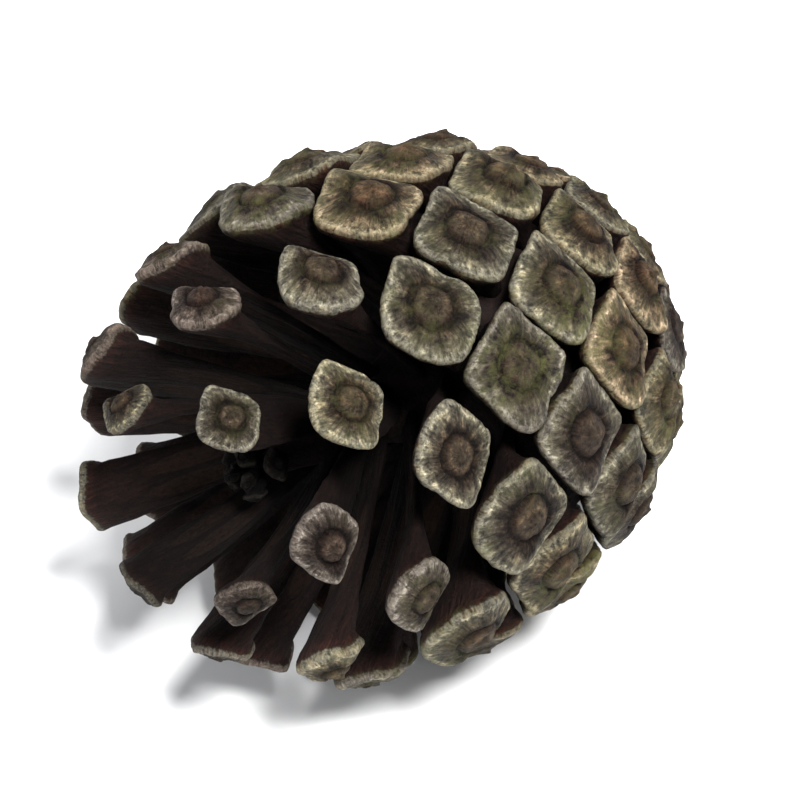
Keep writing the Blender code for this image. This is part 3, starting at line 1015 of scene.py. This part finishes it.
barkLook = {
    "leastRoughness": 0.72,
    "specular": 0.15,
    "reliefDepth": 0.35 * mm,
    "fineRelief": 0.5,
}
spinePaintedShadeLook = {
    **barkLook,
    # painted shade: the spine's bark is painted near black, as it stands deep in the cone between the
    # scales
    "bark": ((0.32, (0.002, 0.001, 0.0008)), (0.68, (0.009, 0.004, 0.003))),
    "mottleSize": 700.0,
}
stubLook = {
    **barkLook,
    "bark": ((0.32, (0.028, 0.018, 0.012)), (0.68, (0.115, 0.085, 0.060))),
    # the paler wood at the break
    "wood": ((0.3, (0.09, 0.060, 0.036)), (0.65, (0.24, 0.18, 0.115))),
    "mottleSize": 600.0,
}


def barkMaterial(weathering, name, look):
    material, shader = startMaterial(name)
    tree = material.node_tree
    place = addNode(tree, "ShaderNodeTexCoord").outputs["Object"]
    weathered = addWeathering(tree, weathering, place, look)
    coarse, fine = weathered["Coarse"], weathered["Fine"]
    colour = addRamp(tree, coarse, look["bark"], "EASE")
    if "wood" in look:
        colour = addMix(tree, readField(tree, "wood"), colour, addRamp(tree, fine, look["wood"], "EASE"))
    relief = plus(tree, coarse, times(tree, fine, look["fineRelief"]))
    finishShader(tree, shader, look, colour, relief, weathered["Roughness"])
    return material


def dress(piece, material):
    piece.data.materials.clear()
    piece.data.materials.append(material)
    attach(piece, "root")
    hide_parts("pine_cone")


print("stage: modelling")
laid = layingMatrix()
scaleRows = makeRows(laid)
spinePiece = makeSpine(laid)
stubPiece = makeStub(laid)

print("stage: materials")
weathering = weatheringGroup()
scaleWood = scaleMaterial(weathering)
for row in scaleRows:
    dress(row, scaleWood)
dress(spinePiece, barkMaterial(weathering, "cone_spine", spinePaintedShadeLook))
dress(stubPiece, barkMaterial(weathering, "stalk_bark", stubLook))


# Floor, light and camera

studio = {
    "floorSize": 3.0,
    "floorColour": (0.82, 0.82, 0.82, 1.0),
    "floorRoughness": 0.9,
    "skyColour": (0.9, 0.93, 1.0, 1.0),
    "skyStrength": 0.35,
    "azimuthDeg": -39.7,
    "elevationDeg": 51.4,
    "distance": 0.38,
    "lens": 235.0,
    "clipStart": 0.01,
    "aim": Vector((0.0, 0.0, 18.5 * mm)),
    # azimuth from the camera's, elevation, distance, size and watts
    "lamps": {
        "keyLight": (35.0, 66.0, 0.6, 0.18, 10.0),
        "fillLight": (-60.0, 40.0, 0.7, 0.5, 1.4),
        "backLight": (165.0, 45.0, 0.7, 0.4, 2.5),
    },
}


def aimedFrom(name, data, azimuthDeg, elevationDeg, distance):
    # a camera or a lamp that looks at the cone from an azimuth and an elevation
    azimuth, elevation = math.radians(azimuthDeg), math.radians(elevationDeg)
    level = math.cos(elevation)
    way = Vector((math.sin(azimuth) * level, -math.cos(azimuth) * level, math.sin(elevation)))
    thing = bpy.data.objects.new(name, data)
    bpy.context.scene.collection.objects.link(thing)
    thing.location = studio["aim"] + way * distance
    thing.rotation_euler = (-way).to_track_quat("-Z", "Y").to_euler()
    return thing


print("stage: floor, light and camera")
onlySelect()
bpy.ops.mesh.primitive_plane_add(size=studio["floorSize"], location=(0.0, 0.0, 0.0))
floor = bpy.context.object
floor.name = "floor"
floorPaint, floorShader = startMaterial("pale_floor")
floorShader.inputs["Base Color"].default_value = studio["floorColour"]
floorShader.inputs["Roughness"].default_value = studio["floorRoughness"]
floor.data.materials.append(floorPaint)

cameraData = bpy.data.cameras.new("camera")
cameraData.lens = studio["lens"]
cameraData.clip_start = studio["clipStart"]
bpy.context.scene.camera = aimedFrom(
    "camera", cameraData, studio["azimuthDeg"], studio["elevationDeg"], studio["distance"])

for name, (azimuthDeg, elevationDeg, distance, size, watts) in studio["lamps"].items():
    lampData = bpy.data.lights.new(name, "AREA")
    lampData.shape = "DISK"
    lampData.size = size
    lampData.energy = watts
    aimedFrom(name, lampData, studio["azimuthDeg"] + azimuthDeg, elevationDeg, distance)

world = bpy.data.worlds.new("studio")
world.use_nodes = True
sky = world.node_tree.nodes["Background"]
sky.inputs["Color"].default_value = studio["skyColour"]
sky.inputs["Strength"].default_value = studio["skyStrength"]
bpy.context.scene.world = world
bpy.context.scene.view_settings.view_transform = "Standard"
